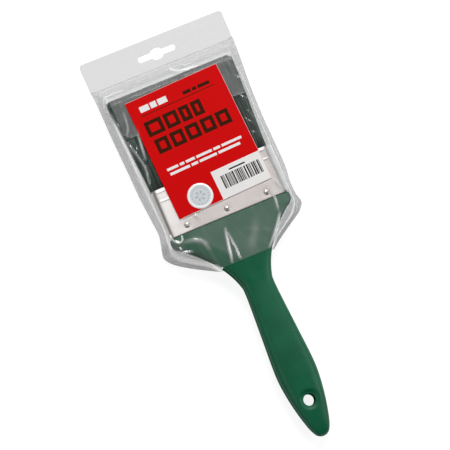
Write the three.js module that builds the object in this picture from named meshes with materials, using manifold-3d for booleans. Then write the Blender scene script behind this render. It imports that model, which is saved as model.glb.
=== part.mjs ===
// A 4 inch wall brush lying on its back in its hang-up film bag, in millimetres.
// +X runs across the brush, +Y towards the filament tips and +Z out of the brush's front.
// The origin is on the bag's flat back, below the middle of the ferrule's handle-side edge.
// Each piece is drawn round the ferrule's own middle, and the two groups at the end are raised.

import * as THREE from 'three';
import { mergeVertices } from 'three/addons/utils/BufferGeometryUtils.js';
import Module from 'manifold-3d';

const wasm = await Module();
wasm.setup();

// Clearances: pieces cut to fit each other, and pieces that only lie on each other.
const fitGap = 0.3;
const restGap = 0.05;

// Ferrule
const ferruleWidth = 100.6;
const ferruleThickness = 20;
const ferruleLength = 40.5;
const ferruleWall = 0.5;
const ferruleSquareness = 9;
const beadRise = 0.35;
const beadHalfWidth = 0.8;
const beadPlaces = [30.3, 38];
const cavityHalfWidth = ferruleWidth / 2 - ferruleWall - fitGap;
const cavityHalfDepth = ferruleThickness / 2 - ferruleWall - fitGap;

// Handle
const handleLength = 187;
const tenonLength = 14;
const hangHoleRadius = 4.65;
const hangHoleY = -157.2;
const landRadius = 6.8;
const landHeight = 7.2;
const dishRadius = 9;
const dishHeight = 9.2;

// Nails
const nailPlaces = [-34, 0, 34];
const nailY = 5.2;
const shankRadius = 0.8;
const shankLength = 8;
const headRadius = 2.2;
const headHeight = 0.6;

// Filament pack and what holds it
const tipY = 123;
const tipHalfWidth = 54.5;
const epoxyBottom = tenonLength + fitGap;
const epoxyTop = 22;
const buttY = epoxyTop + fitGap;
const plugWidth = 92;
const plugThickness = 5;
const splitGap = 0.6;

// Printed card and its round seal
const cardWidth = 80.6;
const cardHeight = 103.6;
const cardThickness = 0.4;
const cardCentre = new THREE.Vector3(0.4, 64.5, ferruleThickness / 2 + 0.6);
const cardTurn = THREE.MathUtils.degToRad(2.3);
const sealRadius = 10.3;
const sealThickness = 0.2;
const sealPlace = new THREE.Vector2(-17.5, -41.2);

// Film bag
const filmWall = 0.4;
const bagBack = -11.35;
const bagFront = 11.9;
const foldHeight = -7;
const headerBottom = 138.5;
const headerTop = 164.5;
const headerHalfWidth = 63;
const headerThickness = 0.6;
const headerCorner = 3;
const slotWidth = 33;
const slotHeight = 5;
const slotHumpWidth = 9.7;
const slotHumpHeight = 10;
const slotY = headerTop - 14.6;

const materials = {
  plastic: new THREE.MeshStandardMaterial({ color: 0x1a5239, roughness: 0.35 }),
  steel: new THREE.MeshStandardMaterial({ color: 0xc9c6c0, roughness: 0.3, metalness: 1 }),
  nail: new THREE.MeshStandardMaterial({ color: 0xb0aca5, roughness: 0.35, metalness: 1 }),
  filament: new THREE.MeshStandardMaterial({ color: 0x40544a, roughness: 0.6 }),
  beech: new THREE.MeshStandardMaterial({ color: 0xb98f5f, roughness: 0.8 }),
  resin: new THREE.MeshStandardMaterial({ color: 0xd9cfa6, roughness: 0.4 }),
  film: new THREE.MeshStandardMaterial({ color: 0xdedede, roughness: 0.2 }),
  card: new THREE.MeshStandardMaterial({ color: 0xd0080c, roughness: 0.5 }),
  foil: new THREE.MeshStandardMaterial({ color: 0xbdc1c1, roughness: 0.3, metalness: 0.6 }),
};

// A closed solid through rings with the same number of points, given from the lowest y to the highest.
function loft(rings) {
  const count = rings[0].length;
  const first = new THREE.Vector3();
  const last = new THREE.Vector3();
  rings[0].forEach((point) => first.addScaledVector(point, 1 / count));
  rings[rings.length - 1].forEach((point) => last.addScaledVector(point, 1 / count));
  const points = [...rings.flat(), first, last];
  const faces = [];
  for (let row = 0; row < rings.length - 1; row += 1) {
    for (let i = 0; i < count; i += 1) {
      const a = row * count + i;
      const b = row * count + ((i + 1) % count);
      faces.push(a, a + count, b, b, a + count, b + count);
    }
  }
  const end = (rings.length - 1) * count;
  for (let i = 0; i < count; i += 1) {
    const next = (i + 1) % count;
    faces.push(points.length - 2, i, next);
    faces.push(points.length - 1, end + next, end + i);
  }
  const geometry = new THREE.BufferGeometry().setFromPoints(points);
  geometry.setIndex(faces);
  return geometry;
}

// A superellipse round the Y axis: squareness 2 is an ellipse, and more comes closer to a rectangle.
function ovalRing(y, halfWidth, halfDepth, squareness, count = 40) {
  const bend = (value) => Math.sign(value) * Math.abs(value) ** (2 / squareness);
  return Array.from({ length: count }, (_, i) => {
    const angle = (i / count) * 2 * Math.PI;
    return new THREE.Vector3(halfWidth * bend(Math.cos(angle)), y, halfDepth * bend(Math.sin(angle)));
  });
}

// A straight bar along Y with the ferrule's section.
function bar(bottom, top, halfWidth, halfDepth) {
  return loft([bottom, top].map((y) => ovalRing(y, halfWidth, halfDepth, ferruleSquareness)));
}

function toSolid(geometry) {
  const bare = geometry.clone();
  bare.deleteAttribute('normal');
  bare.deleteAttribute('uv');
  const merged = mergeVertices(bare, 1e-4);
  return new wasm.Manifold(
    new wasm.Mesh({
      numProp: 3,
      vertProperties: new Float32Array(merged.attributes.position.array),
      triVerts: new Uint32Array(merged.index.array),
    }),
  );
}

function toGeometry(solid) {
  const mesh = solid.getMesh();
  const geometry = new THREE.BufferGeometry();
  geometry.setAttribute('position', new THREE.BufferAttribute(mesh.vertProperties, 3));
  geometry.setIndex(new THREE.BufferAttribute(mesh.triVerts, 1));
  return geometry;
}

function cut(body, ...tools) {
  return toGeometry(tools.reduce((left, tool) => left.subtract(toSolid(tool)), toSolid(body)));
}

function piece(name, geometry, material) {
  const shown = geometry.clone();
  shown.computeVertexNormals();
  const mesh = new THREE.Mesh(shown, materials[material].clone());
  mesh.name = name;
  return mesh;
}

// The room that a nail needs, as a blind hole from outside the face to just past its point.
function nailHole(x, side) {
  const length = shankLength + 2 * fitGap + 2;
  const hole = new THREE.CylinderGeometry(shankRadius + fitGap, shankRadius + fitGap, length, 16);
  hole.rotateX(Math.PI / 2);
  hole.translate(x, nailY, side * (ferruleThickness / 2 + 2 - length / 2));
  return hole;
}

const nailHoles = nailPlaces.flatMap((x) => [nailHole(x, 1), nailHole(x, -1)]);

// Half width, distance from the ferrule and half thickness of the handle, from shoulder to butt.
function handleOutline() {
  const shoulder = [
    [51.1, 0, 10],
    [51.1, -4.8, 10],
    [49.7, -7.8, 9.95],
    [46, -10, 9.9],
    [35, -19.8, 9.7],
    [26.3, -29.6, 9.4],
    [18.8, -40.9, 8.8],
    [13.7, -53.3, 8.2],
  ];
  const grip = [
    [12.5, -63.5, 8],
    [14.3, -97, 8.8],
    [16.1, -128.5, 9.5],
    [15.3, -145, 9.2],
    [12.7, -161, 8.2],
    [8.9, -176, 6.6],
    [5.6, -183.6, 5],
    [2, -handleLength, 2],
  ];
  const points = [...shoulder, ...grip].map((p) => new THREE.Vector3(p[0], p[1], p[2]));
  return new THREE.CatmullRomCurve3(points).getPoints(48);
}

function handle() {
  const rings = handleOutline().map((p) => {
    const towardsGrip = THREE.MathUtils.smoothstep(-p.y, 8, 60);
    return ovalRing(p.y, p.x, p.z, THREE.MathUtils.lerp(ferruleSquareness, 2.8, towardsGrip));
  });
  rings[0].forEach((point) => point.setY(-fitGap));
  const tenon = [tenonLength, -fitGap].map((y) =>
    ovalRing(y, cavityHalfWidth, cavityHalfDepth, ferruleSquareness),
  );
  const hole = new THREE.CylinderGeometry(hangHoleRadius, hangHoleRadius, 3 * dishHeight, 32);
  hole.rotateX(Math.PI / 2);
  hole.translate(0, hangHoleY, 0);
  const body = loft([...tenon, ...rings].reverse());
  return piece('handle', cut(body, hole, dish(1), dish(-1), ...nailHoles), 'plastic');
}

// The shallow dish round the hanging hole, whose flat floor is the land a hook or washer lies on.
function dish(side) {
  const profile = [
    new THREE.Vector2(0, landHeight),
    new THREE.Vector2(landRadius, landHeight),
    new THREE.Vector2(dishRadius, dishHeight),
    new THREE.Vector2(dishRadius, dishHeight + 2),
    new THREE.Vector2(0, dishHeight + 2),
  ];
  const geometry = new THREE.LatheGeometry(profile, 32);
  geometry.rotateX((side * Math.PI) / 2);
  geometry.translate(0, hangHoleY, 0);
  return geometry;
}

// A tube with two pressed beads that run round it near the filaments.
function ferrule() {
  const halfWidth = ferruleWidth / 2;
  const halfDepth = ferruleThickness / 2;
  const outline = [new THREE.Vector2(0, 0)];
  beadPlaces.forEach((y) => {
    outline.push(new THREE.Vector2(0, y - beadHalfWidth));
    outline.push(new THREE.Vector2(beadRise, y));
    outline.push(new THREE.Vector2(0, y + beadHalfWidth));
  });
  outline.push(new THREE.Vector2(0, ferruleLength));
  const outside = loft(
    outline.map((p) => ovalRing(p.y, halfWidth + p.x, halfDepth + p.x, ferruleSquareness)),
  );
  const inside = bar(-1, ferruleLength + 1, halfWidth - ferruleWall, halfDepth - ferruleWall);
  return piece('ferrule', cut(outside, inside, ...nailHoles), 'steel');
}

function nail(name, x, side) {
  const face = ferruleThickness / 2 + restGap;
  const profile = [
    new THREE.Vector2(0, face - shankLength),
    new THREE.Vector2(shankRadius, face - shankLength + 2),
    new THREE.Vector2(shankRadius, face),
    new THREE.Vector2(headRadius, face),
    new THREE.Vector2(headRadius * 0.85, face + headHeight * 0.7),
    new THREE.Vector2(0, face + headHeight),
  ];
  const mesh = piece(name, new THREE.LatheGeometry(profile, 14), 'nail');
  mesh.position.set(x, nailY, 0);
  mesh.rotation.x = (side * Math.PI) / 2;
  return mesh;
}

function nails() {
  const group = new THREE.Group();
  ['left', 'centre', 'right'].forEach((place, i) => {
    group.add(nail(`ferrule_nail_front_${place}`, nailPlaces[i], 1));
    group.add(nail(`ferrule_nail_back_${place}`, nailPlaces[i], -1));
  });
  return group;
}

// The whole filament pack, which swells out of the ferrule and spreads towards its tips.
function filamentPack() {
  const stations = [
    [buttY, cavityHalfWidth, cavityHalfDepth],
    [ferruleLength, cavityHalfWidth, cavityHalfDepth],
    [55, 50, 9.6],
    [75, 51, 9.7],
    [100, 53, 9],
    [tipY - 8, tipHalfWidth, 7.8],
    [tipY - 3, tipHalfWidth - 0.5, 7],
    [tipY - 0.8, tipHalfWidth - 2.5, 6.4],
    [tipY, tipHalfWidth - 6, 5.2],
  ];
  return loft(stations.map(([y, halfWidth, halfDepth]) => ovalRing(y, halfWidth, halfDepth, 7, 44)));
}

// Everything on the other side of the plug, with a wedge that closes up above it.
function farSide(side) {
  const edge = plugThickness / 2 + fitGap;
  const shape = new THREE.Shape([
    new THREE.Vector2(buttY - 1, side * edge),
    new THREE.Vector2(ferruleLength, side * edge),
    new THREE.Vector2(ferruleLength + 25, (side * splitGap) / 2),
    new THREE.Vector2(tipY + 1, (side * splitGap) / 2),
    new THREE.Vector2(tipY + 1, -side * ferruleThickness),
    new THREE.Vector2(buttY - 1, -side * ferruleThickness),
  ]);
  const geometry = new THREE.ExtrudeGeometry(shape, { depth: 3 * tipHalfWidth, bevelEnabled: false });
  geometry.translate(0, 0, -1.5 * tipHalfWidth);
  const yToY = new THREE.Matrix4().makeBasis(
    new THREE.Vector3(0, 1, 0), new THREE.Vector3(0, 0, 1), new THREE.Vector3(1, 0, 0),
  );
  return geometry.applyMatrix4(yToY);
}

function bristles(name, side) {
  return piece(name, cut(filamentPack(), farSide(side)), 'filament');
}

function epoxySetting() {
  return piece('epoxy_setting', bar(epoxyBottom, epoxyTop, cavityHalfWidth, cavityHalfDepth), 'resin');
}

function spacerPlug() {
  const length = ferruleLength - buttY;
  const mesh = piece('spacer_plug', new THREE.BoxGeometry(plugWidth, length, plugThickness), 'beech');
  mesh.position.y = buttY + length / 2;
  return mesh;
}

function cardAndSeal() {
  const group = new THREE.Group();
  group.position.copy(cardCentre);
  group.rotation.z = cardTurn;
  const card = piece('card_insert', new THREE.BoxGeometry(cardWidth, cardHeight, cardThickness), 'card');
  card.position.z = cardThickness / 2;
  const disc = new THREE.CylinderGeometry(sealRadius, sealRadius, sealThickness, 40);
  disc.rotateX(Math.PI / 2);
  const seal = piece('round_seal', disc, 'foil');
  seal.position.set(sealPlace.x, sealPlace.y, cardThickness + restGap + sealThickness / 2);
  group.add(card, seal);
  return group;
}

// The film's section: a flat back on the table, a raised flat front, and a fold along each side.
function filmRing(y, foldHalf, flatHalf, front, back) {
  const corners = [
    [foldHalf, foldHeight],
    [flatHalf, front],
    [-flatHalf, front],
    [-foldHalf, foldHeight],
    [-flatHalf, back],
    [flatHalf, back],
  ];
  return corners.map(([x, z]) => new THREE.Vector3(x, y, THREE.MathUtils.clamp(z, back, front)));
}

// From the mouth to the header: half width at the folds, half width of the flat, and front height.
function bagStations() {
  return [
    { y: -37, foldHalf: 26, flatHalf: 22, front: 10.5 },
    { y: -24, foldHalf: 44, flatHalf: 37, front: 11.2 },
    { y: -12, foldHalf: 59.5, flatHalf: 50, front: 11.5 },
    { y: 8, foldHalf: 57.5, flatHalf: 51, front: bagFront },
    { y: 40, foldHalf: 58.5, flatHalf: 51.5, front: bagFront },
    { y: 90, foldHalf: 60.2, flatHalf: 53, front: bagFront },
    { y: 119, foldHalf: 61.4, flatHalf: 55, front: bagFront },
    { y: 125, foldHalf: 61.8, flatHalf: 55.5, front: 9.2 },
    { y: 139, foldHalf: 62.8, flatHalf: 60, front: -10.2 },
  ];
}

function bagShell() {
  const stations = bagStations();
  const outside = stations.map((s) => filmRing(s.y, s.foldHalf, s.flatHalf, s.front, bagBack));
  const innerRing = (s, y) => {
    const front = s.front - filmWall;
    return filmRing(y, s.foldHalf - 2 * filmWall, s.flatHalf - filmWall, front, bagBack + filmWall);
  };
  const [mouth] = stations;
  const crease = stations[stations.length - 1];
  const inside = stations.map((s) => innerRing(s, s === crease ? s.y - fitGap : s.y));
  inside.unshift(innerRing(mouth, mouth.y - 1));
  return toSolid(loft(outside)).subtract(toSolid(loft(inside)));
}

// The hang slot: a narrow slot with round ends and a hump above and below its middle for one hook.
function hangSlot() {
  const halfWidth = slotWidth / 2;
  const halfHeight = slotHeight / 2;
  const humpHalf = slotHumpWidth / 2;
  const top = slotHumpHeight / 2;
  const path = new THREE.Path();
  path.moveTo(-halfWidth + halfHeight, slotY + halfHeight);
  path.absarc(-halfWidth + halfHeight, slotY, halfHeight, Math.PI / 2, (3 * Math.PI) / 2);
  path.lineTo(-humpHalf, slotY - halfHeight);
  path.quadraticCurveTo(0, slotY - 2 * top + halfHeight, humpHalf, slotY - halfHeight);
  path.lineTo(halfWidth - halfHeight, slotY - halfHeight);
  path.absarc(halfWidth - halfHeight, slotY, halfHeight, -Math.PI / 2, Math.PI / 2);
  path.lineTo(humpHalf, slotY + halfHeight);
  path.quadraticCurveTo(0, slotY + 2 * top - halfHeight, -humpHalf, slotY + halfHeight);
  return path;
}

function bagHeader() {
  const cornerX = headerHalfWidth - headerCorner;
  const cornerY = headerTop - headerCorner;
  const shape = new THREE.Shape();
  shape.moveTo(-headerHalfWidth, headerBottom);
  shape.lineTo(headerHalfWidth, headerBottom);
  shape.absarc(cornerX, cornerY, headerCorner, 0, Math.PI / 2);
  shape.absarc(-cornerX, cornerY, headerCorner, Math.PI / 2, Math.PI);
  shape.holes.push(hangSlot());
  const geometry = new THREE.ExtrudeGeometry(shape, {
    depth: headerThickness,
    bevelEnabled: false,
    curveSegments: 8,
  });
  return toSolid(geometry.translate(0, 0, bagBack));
}

function polyBag() {
  return piece('poly_bag', toGeometry(bagShell().add(bagHeader())), 'film');
}

const brush = new THREE.Group();
brush.add(handle(), ferrule(), nails());
brush.add(bristles('bristles_front', 1), bristles('bristles_back', -1));
brush.add(epoxySetting(), spacerPlug());

const packaging = new THREE.Group();
packaging.add(polyBag(), cardAndSeal());

const wallBrush = new THREE.Group();
wallBrush.add(brush, packaging);
wallBrush.children.forEach((group) => group.position.setZ(-bagBack));

export default wallBrush;
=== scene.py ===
# A 4 inch wall brush lying in its clear hang-up bag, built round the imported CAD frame.
# Lengths are millimetres in the row frame, but metres in the materials and on the stage.
# +X runs across the brush, +Y towards the filament tips, +Z out of the brush's front.

from math import atan2, cos, exp, pi, radians, sin, tan

import bmesh
import bpy
import numpy as np
from mathutils import Matrix, Vector


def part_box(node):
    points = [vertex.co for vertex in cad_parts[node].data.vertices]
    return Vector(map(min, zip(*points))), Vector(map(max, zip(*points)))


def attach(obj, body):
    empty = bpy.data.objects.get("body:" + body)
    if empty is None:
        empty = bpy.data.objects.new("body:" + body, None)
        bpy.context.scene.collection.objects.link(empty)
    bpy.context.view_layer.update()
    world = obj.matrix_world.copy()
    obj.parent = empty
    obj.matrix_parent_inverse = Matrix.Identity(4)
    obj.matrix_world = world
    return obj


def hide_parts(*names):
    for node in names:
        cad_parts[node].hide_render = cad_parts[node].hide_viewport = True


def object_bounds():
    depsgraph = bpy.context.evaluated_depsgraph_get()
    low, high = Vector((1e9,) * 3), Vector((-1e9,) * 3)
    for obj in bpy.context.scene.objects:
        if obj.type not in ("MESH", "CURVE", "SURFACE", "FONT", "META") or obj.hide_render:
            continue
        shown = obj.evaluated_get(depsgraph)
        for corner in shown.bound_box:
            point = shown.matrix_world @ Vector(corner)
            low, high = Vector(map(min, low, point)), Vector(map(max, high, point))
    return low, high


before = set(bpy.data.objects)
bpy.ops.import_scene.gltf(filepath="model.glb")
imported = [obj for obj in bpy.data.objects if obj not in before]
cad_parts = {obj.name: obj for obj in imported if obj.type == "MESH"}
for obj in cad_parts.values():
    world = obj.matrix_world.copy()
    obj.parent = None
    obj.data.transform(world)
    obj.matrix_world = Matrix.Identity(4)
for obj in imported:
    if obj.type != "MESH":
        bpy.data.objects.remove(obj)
cad_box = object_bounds()
scene = bpy.context.scene

MM = 0.001
strand_rng = np.random.default_rng(11)
film_rng = np.random.default_rng(5)
print_rng = np.random.default_rng(3)


# -------- sizes from the frame
def box_mm(node):
    """A node's lowest and highest corners in millimetres."""
    low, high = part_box(node)
    return np.array(low) / MM, np.array(high) / MM


ferrule_low, ferrule_high = box_mm("ferrule")
handle_low, _ = box_mm("handle")
_, filament_high = box_mm("bristles_front")
bag_low, bag_high = box_mm("poly_bag")
card_low, card_high = box_mm("card_insert")
seal_low, seal_high = box_mm("round_seal")

bead_rise = 0.35
header_height = 26
fold_below_middle = 7
middle = (ferrule_low[2] + ferrule_high[2]) / 2
ferrule_half_width = ferrule_high[0] - bead_rise
ferrule_half_depth = ferrule_high[2] - middle - bead_rise
ferrule_length = ferrule_high[1]
tip_y = filament_high[1]
butt_y = handle_low[1]
mouth_y = bag_low[1]
header_top = bag_high[1]
header_half = bag_high[0]
header_bottom = header_top - header_height
fold_height = middle - fold_below_middle

# The camera's direction from the brush, and how far the front film, which lies film_rise over
# the brush's middle, is seen shifted from there.
camera_azimuth = radians(-32.74)
camera_elevation = radians(79.5)
film_rise = 10.5
film_shift = film_rise / tan(camera_elevation)

card_size = np.array([80.6, 103.6])
card_turn = radians(2.3)
card_centre = (card_low + card_high) / 2
seal_centre = (seal_low + seal_high) / 2
seal_radius = (seal_high[0] - seal_low[0]) / 2


# -------- numbers and curves
def ramp(value, start, end):
    """None before the start, one after the end, and a smooth ramp between."""
    t = np.clip((np.asarray(value, float) - start) / (end - start), 0, 1)
    return t * t * (3 - 2 * t)


def spline(points, count):
    """A Catmull-Rom curve through the points, as count rows."""
    table = np.array(points, float)
    padded = np.vstack([2 * table[0] - table[1], table, 2 * table[-1] - table[-2]])
    place = np.linspace(0, len(table) - 1, count)
    i = np.minimum(place.astype(int), len(table) - 2)
    t = (place - i)[:, None]
    a, b, c, d = padded[i], padded[i + 1], padded[i + 2], padded[i + 3]
    bend = (2 * a - 5 * b + 4 * c - d) * t**2 + (3 * b - a - 3 * c + d) * t**3
    return b + 0.5 * ((c - a) * t + bend)


def signed_power(value, power):
    """The power of the value's size, with the value's sign."""
    return np.sign(value) * np.abs(value) ** power


def through(stations, at):
    """Smooth values at the places, through stations (place, value, ...) in rising order."""
    table = np.array(stations, float)
    places, values = table[:, 0], table[:, 1:]
    slopes = np.gradient(values, places, axis=0)
    at = np.clip(np.asarray(at, float), places[0], places[-1])
    i = np.clip(np.searchsorted(places, at, side="right") - 1, 0, len(places) - 2)
    step = (places[i + 1] - places[i])[..., None]
    t = (at - places[i])[..., None] / step
    keep = (1 + 2 * t) * (1 - t) ** 2 * values[i] + t * (1 - t) ** 2 * step * slopes[i]
    come = t**2 * (3 - 2 * t) * values[i + 1] + t**2 * (t - 1) * step * slopes[i + 1]
    return keep + come


# -------- meshes
# Points closer together than this are one point.
WELD = 0.0005


def add_object(name, data):
    """A new object in the scene."""
    obj = bpy.data.objects.new(name, data)
    scene.collection.objects.link(obj)
    return obj


def new_piece(name, points, faces, body, material, slot, replaces, sharp=180, thickness=0, **values):
    """A smooth mesh from points in millimetres, with creases above `sharp` degrees kept crisp.

    Any further value, one for all points or one for each, is stored for the material."""
    mesh = bpy.data.meshes.new(name)
    mesh.from_pydata((np.asarray(points, float) * MM).tolist(), [], faces)
    for key, column in values.items():
        attribute = mesh.attributes.new(key, "FLOAT", "POINT")
        column = np.broadcast_to(np.ravel(column), len(points))
        attribute.data.foreach_set("value", column.astype(np.float32))
    mesh.materials.append(material)
    obj = add_object(name, mesh)
    tidy_mesh(mesh)
    mesh.set_sharp_from_angle(angle=radians(sharp))
    if thickness:
        solid = obj.modifiers.new("thickness", "SOLIDIFY")
        solid.thickness = thickness * MM
        solid.offset = 0
    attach(obj, body)
    if replaces:
        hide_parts(*replaces)
    return mesh


def tidy_mesh(mesh):
    """Joins doubled points, drops unused ones, turns every face outward and shades smoothly."""
    work = bmesh.new()
    work.from_mesh(mesh)
    bmesh.ops.remove_doubles(work, verts=work.verts, dist=WELD * MM)
    bmesh.ops.delete(work, geom=[v for v in work.verts if not v.link_faces], context="VERTS")
    bmesh.ops.recalc_face_normals(work, faces=work.faces)
    work.to_mesh(mesh)
    work.free()
    mesh.shade_smooth()


def as_points(x, y, z):
    """Rows of points from grids of places."""
    return np.column_stack([x.ravel(), y.ravel(), z.ravel()])


def grid_faces(rows, columns, closed=False, start=0, skip=None):
    """Quads between rows of points. A closed grid joins its last column to its first."""
    faces = []
    for row in range(rows - 1):
        for column in range(columns if closed else columns - 1):
            if skip and skip(row, column):
                continue
            a = start + row * columns + column
            b = start + row * columns + (column + 1) % columns
            faces.append((a, b, b + columns, a + columns))
    return faces


def end_faces(rows, columns, start=0):
    """The first and the last row of a closed grid, each as one face."""
    last = start + (rows - 1) * columns
    return [tuple(range(start, start + columns)), tuple(range(last, last + columns))]


def edge_loop(block):
    """The indices once round the edge of a block of them."""
    sides = block[0], block[1:, -1], block[-1, -2::-1], block[-2:0:-1, 0]
    return np.concatenate(sides).tolist()


def bridge(one, other):
    """Quads between two closed loops of as many points."""
    pairs = zip(one, one[1:] + one[:1], other, other[1:] + other[:1])
    return [(a, b, d, c) for a, b, c, d in pairs]


def turned_rings(profile, around, centre):
    """Points round an upright axis, ring by ring, from (radius, height) rows."""
    points = []
    for radius, height in profile:
        for angle in np.arange(around) / around * 2 * pi:
            points.append((
                centre[0] + radius * cos(angle), centre[1] + radius * sin(angle), height,
            ))
    return points


# -------- material helpers
class Nodes:
    """A short way to write a material's node tree."""

    def __init__(self, name):
        self.material = bpy.data.materials.new(name)
        self.material.use_nodes = True
        self.tree = self.material.node_tree
        self.tree.nodes.clear()
        self.output = self.tree.nodes.new("ShaderNodeOutputMaterial")

    def add(self, kind, inputs=None, **settings):
        node = self.tree.nodes.new("ShaderNode" + kind)
        for key, value in settings.items():
            setattr(node, key, value)
        for key, value in (inputs or {}).items():
            self.put(node.inputs[key], value)
        return node

    def put(self, socket, value):
        if isinstance(value, bpy.types.NodeSocket):
            self.tree.links.new(value, socket)
        else:
            socket.default_value = value

    def value(self, name, output="Fac"):
        return self.add("Attribute", attribute_name=name).outputs[output]

    def place(self):
        return self.add("TexCoord").outputs["Object"]

    def axis(self, vector, name):
        return self.add("SeparateXYZ", {"Vector": vector}).outputs[name]

    def scaled(self, vector, scale):
        return self.add("Mapping", {"Vector": vector, "Scale": scale}).outputs["Vector"]

    def noise(self, scale, detail=2, vector=None, roughness=0.5):
        vector = vector or self.place()
        inputs = {"Vector": vector, "Scale": scale, "Detail": detail, "Roughness": roughness}
        return self.add("TexNoise", inputs).outputs["Fac"]

    def maths(self, operation, a, b=0.0, clamp=False):
        node = self.add("Math", operation=operation, use_clamp=clamp)
        self.put(node.inputs[0], a)
        self.put(node.inputs[1], b)
        return node.outputs[0]

    def remap(self, value, low, high, new_low=0.0, new_high=1.0):
        inputs = {
            "Value": value, "From Min": low, "From Max": high, "To Min": new_low, "To Max": new_high,
        }
        return self.add("MapRange", inputs, interpolation_type="SMOOTHSTEP").outputs["Result"]

    def spread(self, noise, new_low=0.0, new_high=1.0):
        """The usual range of a noise, stretched over the new range."""
        return self.remap(noise, 0.3, 0.7, new_low, new_high)

    def times(self, a, b):
        return self.maths("MULTIPLY", a, b)

    def mix(self, factor, a, b):
        node = self.add("Mix", data_type="RGBA")
        self.put(node.inputs["Factor"], factor)
        self.put(node.inputs["A"], a)
        self.put(node.inputs["B"], b)
        return node.outputs["Result"]

    def bump(self, height, strength, distance):
        inputs = {"Height": height, "Strength": strength, "Distance": distance}
        return self.add("Bump", inputs).outputs["Normal"]

    def finish(self, shader):
        self.tree.links.new(shader, self.output.inputs["Surface"])
        return self.material

    def principled(self, **inputs):
        """Finishes the material with one principled shader. Keywords are its input names."""
        named = {key.replace("_", " "): value for key, value in inputs.items()}
        return self.finish(self.add("BsdfPrincipled", named).outputs["BSDF"])


def colour(*screen):
    """A linear colour from red, green and blue as screen values of 0 to 255."""
    linear = [((c / 255 + 0.055) / 1.055) ** 2.4 if c > 10 else c / 255 / 12.92 for c in screen]
    return (*linear, 1)


# -------- materials
def handle_plastic():
    """Moulded satin plastic: a little mottled, with orange peel and a parting line round its edge.

    Painted shade darkens it on its flanks and where its own shape hides the sky, and it is duller
    there too."""
    n = Nodes("handle_plastic")
    cloudy = n.noise(45, 3)
    base = n.mix(n.spread(cloudy), colour(2, 85, 56), colour(5, 93, 63))
    # Painted shade: the colour darkens towards a deep green where the handle's own shape hides the
    # sky.
    sky = n.add("AmbientOcclusion", {"Distance": 0.009}, samples=12, only_local=True).outputs["AO"]
    open_sky = n.remap(sky, 0.55, 0.98)
    base = n.mix(open_sky, colour(0, 42, 18), base)
    # Painted shade: faces turned to the sides are mixed towards a darker green.
    facing_up = n.axis(n.add("NewGeometry").outputs["Normal"], "Z")
    flank = n.remap(n.maths("ABSOLUTE", facing_up), 0.15, 0.7, 1.0, 0.0)
    base = n.mix(n.times(flank, 0.3), base, colour(0, 48, 28))
    height = n.axis(n.place(), "Z")
    off_line = n.maths("ABSOLUTE", n.maths("SUBTRACT", height, middle * MM))
    parting = n.remap(off_line, 0.0, 0.00022, 1.0, 0.0)
    peel = n.maths("ADD", n.times(n.noise(900, 2), 0.35), parting)
    scuffs = n.noise(160, 5, n.scaled(n.place(), (1, 0.25, 1)), 0.7)
    off_flank = n.maths("SUBTRACT", 1.0, flank)
    gloss = n.times(n.times(open_sky, 0.3), off_flank)
    return n.principled(
        Base_Color=base,
        Roughness=n.remap(scuffs, 0.35, 0.75, 0.38, 0.48),
        Normal=n.bump(peel, 0.2, 0.0001),
        Specular_IOR_Level=gloss,
    )


def ferrule_steel():
    """Bright plated steel with fine rolling lines and faint blotches, a painted highlight over one
    end and a painted dark reflection along its corners.
    """
    n = Nodes("ferrule_steel")
    rolled = n.noise(1400, 2, n.scaled(n.place(), (0.02, 1, 1)))
    blotch = n.noise(38, 4)
    base = n.mix(blotch, colour(214, 206, 203), colour(230, 223, 220))
    across = n.axis(n.place(), "X")
    # Painted highlight: the left end is mixed towards near white.
    painted_end_highlight = n.remap(across, -0.046, -0.022, 1.0, 0.0)
    base = n.mix(painted_end_highlight, base, colour(255, 250, 247))
    # Painted reflection: a dark band where the steel turns down to its sides.
    off_centre = n.maths("ABSOLUTE", across)
    begins = n.remap(off_centre, 0.0465, 0.0478)
    ends = n.remap(off_centre, 0.0486, 0.05, 1.0, 0.0)
    corner = n.times(begins, ends)
    base = n.mix(n.times(corner, 0.75), base, colour(120, 116, 112))
    roughness = n.maths("ADD", n.spread(rolled, 0.0, 0.1), n.spread(blotch, 0.38, 0.5))
    return n.principled(
        Base_Color=base,
        Metallic=0.45,
        Roughness=roughness,
        Normal=n.bump(rolled, 0.12, 0.00005),
    )


def nail_steel():
    """Plated steel with the small dents of the hammer."""
    n = Nodes("nail_steel")
    dents = n.noise(700, 3)
    return n.principled(
        Base_Color=n.mix(dents, colour(170, 165, 158), colour(214, 210, 204)),
        Metallic=0.9,
        Roughness=n.spread(dents, 0.26, 0.42),
        Normal=n.bump(dents, 0.3, 0.0001),
    )


def filament():
    """Dyed strands, each in its own tone, from near black through grey green to a few in teal."""
    n = Nodes("filament")
    tone = n.value("tone")
    dull = n.mix(n.remap(tone, 0.0, 0.75), colour(10, 26, 18), colour(72, 104, 88))
    base = n.mix(n.remap(tone, 0.86, 1.0), dull, colour(104, 170, 148))
    along = n.noise(480, 3, n.scaled(n.place(), (1, 0.12, 1)), 0.6)
    shaded = n.remap(along, 0.4, 0.6, 0.0, 0.7)
    return n.principled(
        Base_Color=n.mix(shaded, base, colour(12, 28, 20)),
        Roughness=0.5,
        Specular_IOR_Level=0.15,
    )


def plug_wood():
    """Sawn softwood: growth rings stretched along X and open pores."""
    n = Nodes("plug_wood")
    stretched = n.scaled(n.place(), (0.06, 1, 1))
    rings = n.add("TexWave", {"Vector": stretched, "Scale": 260.0, "Distortion": 5.0, "Detail": 3.0})
    pores = n.noise(1500, 2, stretched)
    return n.principled(
        Base_Color=n.mix(rings.outputs["Fac"], colour(203, 163, 112), colour(171, 126, 78)),
        Roughness=n.spread(pores, 0.65, 0.85),
        Normal=n.bump(pores, 0.4, 0.0002),
    )


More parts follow.
